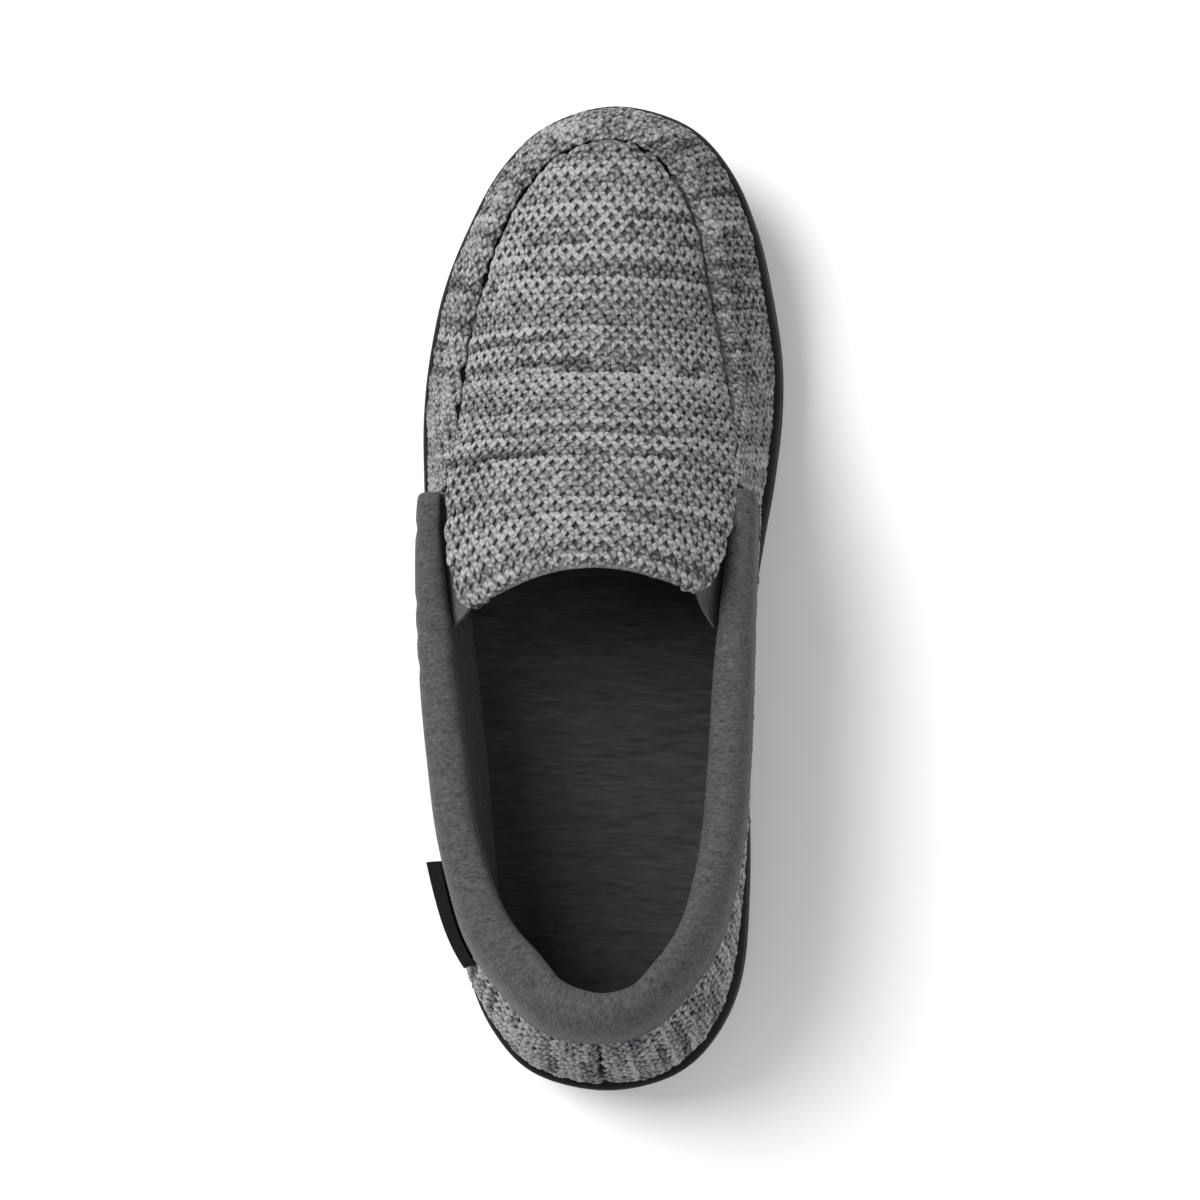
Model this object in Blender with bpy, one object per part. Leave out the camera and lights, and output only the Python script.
"""A left moccasin slipper with a knitted upper, standing on Z = 0.

The toe points along +Y, the medial side (towards the other foot) along +X. Tables are in millimetres.
"""

import math
from collections import namedtuple

import bmesh
import bpy
from mathutils import Vector

# Driving dimensions, in millimetres
MM = 0.001
UP = Vector((0.0, 0.0, 1.0))
GAP = 0.3
SEAM_GAP = 0.9
UPPER_WALL = 3.0
UPPER_INSET = 3.5
UPPER_INSET_TOE = 2.3
UPPER_FOOT = 1.5
TOE_FROM = 100.0
TOE_RUN = 40.0
WELT_WIDTH = 7.0
INSOLE_THICKNESS = 5.5
RIDGE_WIDTH = 6.4
RIDGE_SIDE = 1.8
RIDGE_TOE = 3.0
RIDGE_FADE = 5.0
CROWN_POWER = 2.2
GORE_THICKNESS = 1.5
FLAP_LEAN = 0.62
TAG_THICKNESS = 1.2
TAG_CLEAR = 0.9
TAG_WIDTH = 8.6
TAG_REACH_FRONT = 4.8
TAG_REACH_BACK = 4.0

# Steps of the mesh
SUB = 3
CROWN_COLUMNS = 12
UPPER_STEPS = 5

# One row for each section, heel to toe: outline of the sole at its widest (y, lateral x, medial x),
# heights of the underside, of the groove and of the top of the welt, then the upper's free edge, which
# is the collar seam at the back and the apron seam in front of TIP_ROW, and how far its wall bulges on the
# lateral and on the medial side
Section = namedtuple(
    "Section",
    "y lat med floor groove welt edge_y edge_lat edge_med edge_z bulge_lat bulge_med",
)
SECTIONS = [
    Section(-145.0, 1.8, 1.8, 6.0, 26.0, 30.3, -127.0, 1.6, 1.6, 71.0, 3.0, 3.0),
    Section(-140.5, -18.8, 21.8, 5.2, 25.7, 30.0, -123.5, -16.0, 18.8, 71.0, 3.0, 2.4),
    Section(-129.0, -31.2, 34.2, 3.2, 24.8, 29.4, -113.5, -27.2, 29.3, 70.0, 2.8, 1.8),
    Section(-111.0, -39.4, 41.8, 2.0, 23.2, 27.8, -97.0, -37.0, 37.6, 67.5, 2.4, 1.2),
    Section(-83.0, -43.2, 44.0, 2.0, 22.3, 26.8, -72.0, -43.2, 42.6, 63.5, 1.8, 0.9),
    Section(-54.0, -45.6, 43.8, 2.6, 23.0, 27.6, -47.0, -46.6, 44.6, 60.0, 1.4, 0.8),
    Section(-26.0, -48.4, 43.8, 2.8, 25.3, 30.0, -21.0, -49.0, 45.6, 57.2, 1.0, 0.7),
    Section(-4.0, -50.7, 45.2, 2.4, 26.6, 31.0, 3.0, -50.2, 46.4, 55.2, 0.8, 0.6),
    Section(18.0, -52.8, 48.6, 2.0, 20.3, 24.8, 26.0, -49.6, 47.0, 54.8, 0.8, 0.6),
    Section(35.0, -53.7, 51.6, 2.0, 17.4, 22.8, 33.0, -41.4, 41.6, 70.5, 2.0, 1.0),
    Section(54.0, -53.9, 53.8, 2.0, 17.2, 22.8, 51.0, -40.3, 40.9, 59.5, 3.2, 1.3),
    Section(72.0, -52.0, 53.9, 4.2, 19.2, 24.8, 68.0, -38.8, 38.2, 51.5, 3.6, 1.5),
    Section(92.0, -47.4, 51.0, 8.4, 22.8, 29.0, 89.0, -34.2, 34.0, 50.6, 3.6, 1.7),
    Section(110.0, -39.6, 46.7, 13.3, 28.5, 34.5, 107.0, -27.6, 30.4, 53.4, 3.4, 2.0),
    Section(127.0, -29.4, 39.0, 18.6, 34.0, 39.8, 120.5, -19.0, 24.2, 57.6, 3.0, 2.3),
    Section(139.5, -15.2, 26.2, 23.2, 38.0, 43.9, 129.0, -8.6, 15.8, 61.6, 2.8, 2.5),
    Section(145.0, 5.2, 5.2, 26.0, 39.3, 45.2, 132.0, 4.6, 4.6, 64.0, 2.8, 2.8),
]
TIP_ROW = 9
TOE_ROW = len(SECTIONS) - 1
AROUND = 2 * TOE_ROW * SUB

# Top of the collar's outer face for the rows from the heel to the tip, and its padded thickness at the top
# and at the seam below
Collar = namedtuple("Collar", "y lat med z thick foot")
COLLAR = [
    Collar(-120.5, 1.6, 1.6, 89.0, 10.0, 10.0),
    Collar(-117.2, -14.4, 16.6, 88.6, 10.0, 10.0),
    Collar(-108.0, -25.0, 26.8, 87.2, 10.0, 10.0),
    Collar(-93.5, -34.5, 35.0, 84.5, 10.0, 10.0),
    Collar(-71.0, -41.4, 40.6, 81.0, 10.0, 10.0),
    Collar(-46.0, -45.2, 43.1, 78.5, 10.0, 10.0),
    Collar(-20.0, -47.8, 44.2, 76.6, 9.5, 9.5),
    Collar(4.0, -49.0, 44.9, 75.2, 8.0, 7.0),
    Collar(26.0, -48.4, 45.4, 74.0, 6.0, 1.8),
    Collar(30.0, -47.4, 45.0, 72.8, 5.0, 1.4),
]

# Rounded section of the collar: height up its outer face, and depth inwards, both as shares
COLLAR_PROFILE = [
    (0.00, 0.00),
    (0.22, -0.08),
    (0.48, -0.12),
    (0.74, -0.07),
    (0.91, 0.07),
    (0.99, 0.28),
    (1.00, 0.52),
    (0.95, 0.78),
    (0.80, 0.97),
    (0.55, 1.00),
    (0.28, 0.88),
    (0.00, 0.62),
]
COLLAR_FULL_HEIGHT = 12.0
COLLAR_LEAST = 1.4

# The apron's free end from its back edge forwards: side edges, how far the middle lies ahead of them, and
# how far the medial edge lies ahead of y and the lateral edge behind it
Flap = namedtuple("Flap", "y lat med z sag skew")
FLAP = [
    Flap(-1.5, -33.2, 30.8, 87.0, 10.4, 2.0),
    Flap(1.5, -36.6, 34.0, 85.0, 10.2, 1.8),
    Flap(8.5, -39.2, 36.8, 81.5, 8.6, 1.2),
    Flap(17.0, -41.0, 39.0, 78.0, 6.5, 0.5),
    Flap(25.0, -41.0, 40.2, 74.6, 4.2, 0.0),
]
TIP_SAG = 2.5

# Seats of the gores and of the tag, as steps along the flap's edge, the collar and the seam
GORE_STEPS = ((11, 24), (9, 23), (6, 22), (4, 21), (1, 20))
GORE_SEAT = COLLAR_PROFILE.index((0.80, 0.97))
TAG_STEPS = (-11.55, -10.6, -9.65, -8.7, -7.8)

# Height of the instep along the middle of the apron
Crown = namedtuple("Crown", "y z")
CROWN = [
    Crown(8.0, 101.5),
    Crown(18.0, 97.8),
    Crown(28.0, 93.7),
    Crown(43.0, 87.8),
    Crown(63.0, 78.7),
    Crown(77.0, 73.9),
    Crown(90.0, 70.9),
    Crown(105.0, 69.2),
    Crown(118.0, 67.9),
    Crown(126.0, 66.4),
    Crown(132.0, 64.0),
]

# Raised apron seam across its width: share of the way back from the seam, and share of its height
RidgeStep = namedtuple("RidgeStep", "back lift")
RIDGE_PROFILE = [
    RidgeStep(0.8, 0.45),
    RidgeStep(0.5, 1.00),
    RidgeStep(0.2, 0.55),
    RidgeStep(0.0, -0.25),
]

# Sides of the sole pieces, bottom to top: share of the piece's height, and inset from the outline
Level = namedtuple("Level", "share inset")
SIDEWALL = [
    Level(0.00, 8.0),
    Level(0.00, 5.0),
    Level(0.11, 2.2),
    Level(0.30, 0.6),
    Level(0.56, 0.0),
    Level(0.82, 0.3),
    Level(0.94, 0.9),
    Level(1.00, 2.2),
]
WELT_FACE = [
    Level(0.00, 2.0),
    Level(0.16, 0.9),
    Level(0.45, 0.5),
    Level(0.75, 0.8),
    Level(1.00, 1.9),
]
INSOLE_SIDE = [
    Level(0.00, 7.8),
    Level(0.70, 7.6),
    Level(0.93, 8.1),
    Level(1.00, 9.6),
]
ARCH_WAIST = 2.2
ARCH_SHARE = 0.7
ARCH_Y = 12.0
ARCH_SPREAD = 26.0

# Tread pads: where each begins and ends, its ribs, and how far it stands in from the sole's outline
Pad = namedtuple("Pad", "back front ribs inset")
PADS = [
    Pad(-123.0, -79.0, 6, 5.5),
    Pad(-10.0, 32.5, 5, 5.5),
    Pad(35.5, 79.0, 5, 5.5),
    Pad(82.0, 134.0, 6, 6.5),
]
SPRING_Y = 45.0
PAD_PROUD = 2.0
PAD_SUNK = 1.6
RIB_DEPTH = 1.2
RIB_GROOVE = 1.6
RIB_SLOPE = 0.4

# Colours and finishes of the materials, as the photograph shows them
Finish = namedtuple("Finish", "color roughness")
RUBBER = Finish((0.026, 0.026, 0.028), 0.62)
WELT_RUBBER = Finish((0.033, 0.033, 0.037), 0.55)
FOOTBED = Finish((0.030, 0.030, 0.031), 0.95)
KNIT = Finish((0.190, 0.192, 0.198), 0.92)
JERSEY = Finish((0.105, 0.105, 0.108), 0.90)
ELASTIC = Finish((0.088, 0.092, 0.105), 0.80)
RIBBON = Finish((0.012, 0.012, 0.013), 0.70)


def catmull(before, start, end, after, share):
    """Point between start and end on the smooth curve through all four."""
    square = share * share
    cube = square * share
    return 0.5 * (
        2.0 * start
        + (end - before) * share
        + (2.0 * before - 5.0 * start + 4.0 * end - after) * square
        + (3.0 * start - before - 3.0 * end + after) * cube
    )


def closed_curve(points):
    """SUB points for each gap of a closed smooth curve through the given points."""
    count = len(points)
    curve = []
    for i in range(count):
        four = [points[(i + step) % count] for step in (-1, 0, 1, 2)]
        curve += [catmull(*four, k / SUB) for k in range(SUB)]
    return curve


def open_curve(points):
    """SUB points for each gap of an open smooth curve, and its last point."""
    first = 2.0 * points[0] - points[1]
    last = 2.0 * points[-1] - points[-2]
    padded = [first] + list(points) + [last]
    curve = []
    for i in range(len(points) - 1):
        curve += [catmull(*padded[i : i + 4], k / SUB) for k in range(SUB)]
    return curve + [points[-1]]


def table_value(rows, name, y):
    """A table's column at any y, on a smooth curve through its rows."""
    last = len(rows) - 1
    i = 0
    while i < last - 1 and rows[i + 1].y < y:
        i += 1
    share = min(max((y - rows[i].y) / (rows[i + 1].y - rows[i].y), 0.0), 1.0)
    picks = (max(i - 1, 0), i, i + 1, min(i + 2, last))
    return catmull(*[getattr(rows[k], name) for k in picks], share)


def around(medial, lateral):
    """Closed curve up the medial side from heel to toe and down the lateral side."""
    points = [medial(row) for row in SECTIONS]
    points += [lateral(row) for row in reversed(SECTIONS[1:-1])]
    return closed_curve(points)


def outline_with(height):
    """The sole's outline at the height that a function gives for each row."""
    return around(
        lambda row: Vector((row.med, row.y, height(row))),
        lambda row: Vector((row.lat, row.y, height(row))),
    )


def inward_normals(loop):
    """Horizontal inward direction at each point of a loop that runs anticlockwise from above."""
    normals = []
    for i in range(len(loop)):
        along = loop[(i + 1) % len(loop)] - loop[i - 1]
        normals.append(Vector((-along.y, along.x, 0.0)).normalized())
    return normals


OUTLINE = outline_with(lambda row: 0.0)
INWARD = inward_normals(OUTLINE)


def inset(loop, distance):
    """The loop moved inwards by a distance, which may be a function of the point."""
    reach = distance if callable(distance) else lambda point: distance
    return [point + normal * reach(point) for point, normal in zip(loop, INWARD)]


def arch_waist(point, share):
    """Extra inset of the lower sidewall where the arch is hollowed."""
    hollow = math.exp(-(((point.y - ARCH_Y) / ARCH_SPREAD) ** 2))
    return ARCH_WAIST * hollow * math.sin(math.pi * min(share / ARCH_SHARE, 1.0))


def principled(name, finish):
    material = bpy.data.materials.new(name)
    material.use_nodes = True
    shader = material.node_tree.nodes["Principled BSDF"]
    shader.inputs["Base Color"].default_value = (*finish.color, 1.0)
    shader.inputs["Roughness"].default_value = finish.roughness
    shader.inputs["Metallic"].default_value = 0.0
    return material


def finished(name, bm, finish, crease_deg=50.0):
    """Turns a bmesh in millimetres into a named object in metres."""
    bmesh.ops.remove_doubles(bm, verts=bm.verts, dist=1e-5)
    bmesh.ops.recalc_face_normals(bm, faces=bm.faces)
    bmesh.ops.scale(bm, vec=(MM, MM, MM), verts=bm.verts)
    mesh = bpy.data.meshes.new(name)
    bm.to_mesh(mesh)
    bm.free()
    mesh.shade_smooth()
    mesh.set_sharp_from_angle(angle=math.radians(crease_deg))
    mesh.materials.append(principled(name, finish))
    obj = bpy.data.objects.new(name, mesh)
    bpy.context.scene.collection.objects.link(obj)
    return obj


def add_skin(bm, loops, closed_loops=True):
    """Quads between neighbouring loops of points. Returns the rows of vertices."""
    rows = [[bm.verts.new(point) for point in loop] for loop in loops]
    for lower, upper in zip(rows, rows[1:]):
        count = len(lower)
        for i in range(count if closed_loops else count - 1):
            k = (i + 1) % count
            bm.faces.new((lower[i], lower[k], upper[k], upper[i]))
    return rows


def add_ladder(bm, row):
    """Closes a loop with strips across, from its heel point to its toe point."""
    half = len(row) // 2
    bm.faces.new((row[0], row[1], row[-1]))
    for k in range(1, half - 1):
        bm.faces.new((row[k], row[k + 1], row[-k - 1], row[-k]))
    bm.faces.new((row[half - 1], row[half], row[half + 1]))


def plate(loops):
    """Closed bmesh from loops stacked upwards, with its underside and top closed by strips."""
    bm = bmesh.new()
    rows = add_skin(bm, loops)
    add_ladder(bm, rows[0])
    add_ladder(bm, rows[-1])
    return bm


def ring(sections):
    """Closed bmesh from closed sections that follow each other all the way round."""
    bm = bmesh.new()
    add_skin(bm, sections + sections[:1])
    return bm


def bar(sections):
    """Closed bmesh from closed sections along an open path, with a face at each end."""
    bm = bmesh.new()
    rows = add_skin(bm, sections)
    bm.faces.new(rows[0])
    bm.faces.new(rows[-1])
    return bm


def floor_at(y):
    """Height of the outsole's underside between its tread pads."""
    return table_value(SECTIONS, "floor", y)


def pad_stations(pad):
    """Places along a pad, each with whether it lies down on a rib or up in a groove between ribs."""
    pitch = (pad.front - pad.back + RIB_GROOVE) / pad.ribs
    stations = []
    for i in range(pad.ribs):
        start = pad.back + i * pitch
        end = start + pitch - RIB_GROOVE
        if i:
            stations.append((start - RIB_SLOPE, True))
        stations += [(start, False), ((start + end) / 2, False), (end, False)]
        if i < pad.ribs - 1:
            stations.append((end + RIB_SLOPE, True))
    return stations


def tread_pad(pad, number):
    """A tread pad, sunk into the outsole, to be joined to it."""
    sections = []
    for y, raised in pad_stations(pad):
        low = max(floor_at(y) - PAD_PROUD, 0.0) if y > SPRING_Y else 0.0
        high = low + PAD_PROUD + PAD_SUNK
        if raised:
            low += RIB_DEPTH
        lat = table_value(SECTIONS, "lat", y) + pad.inset
        med = table_value(SECTIONS, "med", y) - pad.inset
        corners = ((lat, low), (med, low), (med, high), (lat, high))
        sections.append([Vector((x, y, z)) for x, z in corners])
    obj = finished(f"tread_pad_{number}", bar(sections), RUBBER)
    obj.hide_render = True
    obj.display_type = "WIRE"
    return obj


def make_outsole():
    loops = []
    for level in SIDEWALL:
        height = lambda row: row.floor + level.share * (row.groove - row.floor)
        reach = lambda point: level.inset + arch_waist(point, level.share)
        loops.append(inset(outline_with(height), reach))
    outsole = finished("outsole", plate(loops), RUBBER)
    for number, pad in enumerate(PADS):
        union = outsole.modifiers.new(f"tread pad {number}", "BOOLEAN")
        union.operation = "UNION"
        union.object = tread_pad(pad, number)


def make_welt():
    groove = outline_with(lambda row: row.groove + GAP)
    top = outline_with(lambda row: row.welt)
    profile = WELT_FACE + [Level(1.0, WELT_WIDTH), Level(0.0, WELT_WIDTH)]
    sections = []
    for low, high, normal in zip(groove, top, INWARD):
        sections.append([low.lerp(high, level.share) + normal * level.inset for level in profile])
    finished("welt", ring(sections), WELT_RUBBER)


def make_insole():
    loops = []
    for level in INSOLE_SIDE:
        height = lambda row: row.groove + GAP + level.share * INSOLE_THICKNESS
        loops.append(inset(outline_with(height), level.inset))
    finished("insole", plate(loops), FOOTBED)


def upper_inset(point):
    """How far the foot of the upper stands in from the sole's outline: less round the toe."""
    share = min(max((point.y - TOE_FROM) / TOE_RUN, 0.0), 1.0)
    return UPPER_INSET + share * (UPPER_INSET_TOE - UPPER_INSET)


BASE = inset(outline_with(lambda row: row.welt + GAP), upper_inset)
EDGE = around(
    lambda row: Vector((row.edge_med, row.edge_y, row.edge_z)),
    lambda row: Vector((row.edge_lat, row.edge_y, row.edge_z)),
)
BULGE = around(lambda row: Vector((row.bulge_med, 0, 0)), lambda row: Vector((row.bulge_lat, 0, 0)))


def row_number(i):
    """How far along the table a point of the closed curves lies, from 0 at the heel to TOE_ROW."""
    return (i if i <= AROUND // 2 else AROUND - i) / SUB


def ridge_height(i):
    """Height of the raised apron seam: nothing at the collar, most round the toe."""
    share = (row_number(i) - TIP_ROW) / (TOE_ROW - TIP_ROW)
    rise = min(max(share * RIDGE_FADE, 0.0), 1.0)
    return rise * (RIDGE_SIDE + (RIDGE_TOE - RIDGE_SIDE) * max(share, 0.0) ** 3)


def wall_point(i, share):
    """Point of the upper's outer face between its base and its edge, before the seam is raised."""
    bow = 4.0 * share * (1.0 - share) * BULGE[i].x
    foot = BASE[i] + UP * UPPER_FOOT
    return foot.lerp(EDGE[i], share) - INWARD[i] * bow


def wall_shares(i):
    """Steps up the wall, with the ones near the edge at fixed distances, for the raised seam."""
    length = (EDGE[i] - BASE[i]).length
    band = 1.0 - RIDGE_WIDTH / length
    shares = [band * k / UPPER_STEPS for k in range(UPPER_STEPS + 1)]
    return shares + [1.0 - step.back * RIDGE_WIDTH / length for step in RIDGE_PROFILE]


def apron_rows():
    """Side edges of the apron, back to front: lateral point, medial point and sag of each row."""
    tip = TIP_ROW * SUB
    lateral = [Vector((row.lat, row.y - row.skew, row.z)) for row in FLAP] + [EDGE[-tip]]
    medial = [Vector((row.med, row.y + row.skew, row.z)) for row in FLAP] + [EDGE[tip]]
    sags = [Vector((row.sag, 0, 0)) for row in FLAP] + [Vector((TIP_SAG, 0, 0))]
    rows = list(zip(open_curve(lateral), open_curve(medial), open_curve(sags)))
    rows = [(lat, med, sag.x) for lat, med, sag in rows]
    steps = AROUND // 2 - tip
    for k in range(1, steps):
        sag = TIP_SAG * (1.0 - k / steps) ** 2
        rows.append((EDGE[-tip - k], EDGE[tip + k], sag))
    return rows


def apron_point(row, across):
    """Point of the instep: across runs from -1 at the lateral edge to 1 at the medial edge."""
    lat, med, sag = row
    low = lat.lerp(med, 0.5 + 0.5 * across)
    middle_y = 0.5 * (lat.y + med.y) + sag
    rise = table_value(CROWN, "z", middle_y) - 0.5 * (lat.z + med.z)
    fall = abs(across) ** CROWN_POWER
    return low + Vector((0.0, sag * (1.0 - across * across), rise * (1.0 - fall)))


def make_upper():
    bm = bmesh.new()
    lift = bm.verts.layers.float.new("lift")
    columns = []
    for i in range(AROUND):
        shares = wall_shares(i)
        column = [bm.verts.new(BASE[i])]
        column += [bm.verts.new(wall_point(i, share)) for share in shares]
        for vert, step in zip(column[-len(RIDGE_PROFILE) :], RIDGE_PROFILE):
            vert[lift] = step.lift * ridge_height(i)
        columns.append(column)
    for i in range(AROUND):
        here, there = columns[i], columns[(i + 1) % AROUND]
        for k in range(len(here) - 1):
            bm.faces.new((here[k], there[k], there[k + 1], here[k + 1]))
    rows = []
    for row in apron_rows():
        steps = [2.0 * k / CROWN_COLUMNS - 1.0 for k in range(CROWN_COLUMNS + 1)]
        rows.append([bm.verts.new(apron_point(row, across)) for across in steps])
    for back, front in zip(rows, rows[1:]):
        for k in range(CROWN_COLUMNS):
            bm.faces.new((back[k], back[k + 1], front[k + 1], front[k]))
    toe = columns[AROUND // 2][-1]
    for k in range(CROWN_COLUMNS):
        bm.faces.new((rows[-1][k], rows[-1][k + 1], toe))
    targets = {}
    tip = TIP_ROW * SUB
    first = len(rows) - (AROUND // 2 - tip)
    for k in range(AROUND // 2 - tip):
        targets[rows[first + k][0]] = columns[-tip - k][-1]
        targets[rows[first + k][-1]] = columns[tip + k][-1]
    bmesh.ops.weld_verts(bm, targetmap=targets)
    bmesh.ops.recalc_face_normals(bm, faces=bm.faces)
    bm.normal_update()
    outer = list(bm.verts)
    raised = [(vert, vert.normal * vert[lift]) for vert in outer]
    bmesh.ops.solidify(bm, geom=bm.faces[:], thickness=UPPER_WALL)
    for vert, move in raised:
        vert.co += move
    finished("upper", bm, KNIT)


def collar_path():
    """For each section of the collar: its place on the closed curves, top point and padding."""
    back_to_tip = COLLAR[1:]
    tops = [Vector((row.lat, row.y, row.z)) for row in reversed(back_to_tip)]
    tops += [Vector((row.med, row.y, row.z)) for row in COLLAR]
    padding = [Vector((row.thick, row.foot, 0)) for row in list(reversed(back_to_tip)) + COLLAR]
    places = range(-TIP_ROW * SUB, TIP_ROW * SUB + 1)
    return list(zip(places, open_curve(tops), open_curve(padding)))[1:-1]


def collar_section(place, top, padding):
    """Closed section of the collar, thickest at the top where its foot is thinner."""
    along = (EDGE[place + 1] - EDGE[place - 1]).normalized()
    clear = (UP - along * along.z).normalized()
    bottom = EDGE[place] + clear * SEAM_GAP
    fullness = min(1.0, (top - bottom).length / COLLAR_FULL_HEIGHT)
    section = []
    for share, part in COLLAR_PROFILE:
        thick = padding.y + (padding.x - padding.y) * share**2
        depth = max(thick * fullness, COLLAR_LEAST)
        section.append(bottom.lerp(top, share) + INWARD[place] * depth * part)
    return section


def make_collar():
    sections = [collar_section(*stop) for stop in collar_path()]
    finished("collar", bar(sections), JERSEY)


def gore_ends(side):
    """Pairs of points, front to back: under the flap's edge, and inside the collar, on one side."""
    rows = apron_rows()
    stops = {stop[0]: stop for stop in collar_path()}
    below = UPPER_WALL + GAP + GORE_THICKNESS / 2
    beside = GAP + GORE_THICKNESS / 2
    pairs = []
    for flap_step, collar_step in GORE_STEPS:
        flap_edge = rows[flap_step][1 if side > 0 else 0]
        upper_end = flap_edge - below * Vector((side * FLAP_LEAN, 0.0, math.sqrt(1.0 - FLAP_LEAN**2)))
        place = side * collar_step
        lower_end = collar_section(*stops[place])[GORE_SEAT] + INWARD[place] * beside
        pairs.append((upper_end, lower_end))
    return pairs


def make_gore(name, side):
    sections = []
    for upper_end, lower_end in gore_ends(side):
        across = (lower_end - upper_end).normalized()
        face = across.cross(Vector((0.0, side, 0.0))).normalized() * GORE_THICKNESS / 2
        sections.append([upper_end + face, lower_end + face, lower_end - face, upper_end - face])
    finished(name, bar(sections), ELASTIC)


def between(curve, step):
    """Point of a closed curve at a step that need not be a whole number."""
    place = math.floor(step)
    return curve[place].lerp(curve[place + 1], step - place)


def make_tag():
    """A folded ribbon that hangs from the collar seam, standing off the wall a little more in front."""
    sections = []
    for step in TAG_STEPS:
        outward = -between(INWARD, step).normalized()
        root = between(EDGE, step) + outward * TAG_CLEAR
        share = (step - TAG_STEPS[0]) / (TAG_STEPS[-1] - TAG_STEPS[0])
        reach = TAG_REACH_FRONT + share * (TAG_REACH_BACK - TAG_REACH_FRONT)
        drop = math.sqrt(TAG_WIDTH**2 - reach**2)
        end = root + outward * reach - UP * drop
        thick = (outward * drop + UP * reach) * (TAG_THICKNESS / TAG_WIDTH)
        sections.append([root, end, end + thick, root + thick])
    finished("tag", bar(sections), RIBBON)


# Start by clearing the scene
for old in list(bpy.data.objects):
    bpy.data.objects.remove(old, do_unlink=True)

make_outsole()
make_welt()
make_insole()
make_upper()
make_collar()
make_gore("gore_medial", 1)
make_gore("gore_lateral", -1)
make_tag()
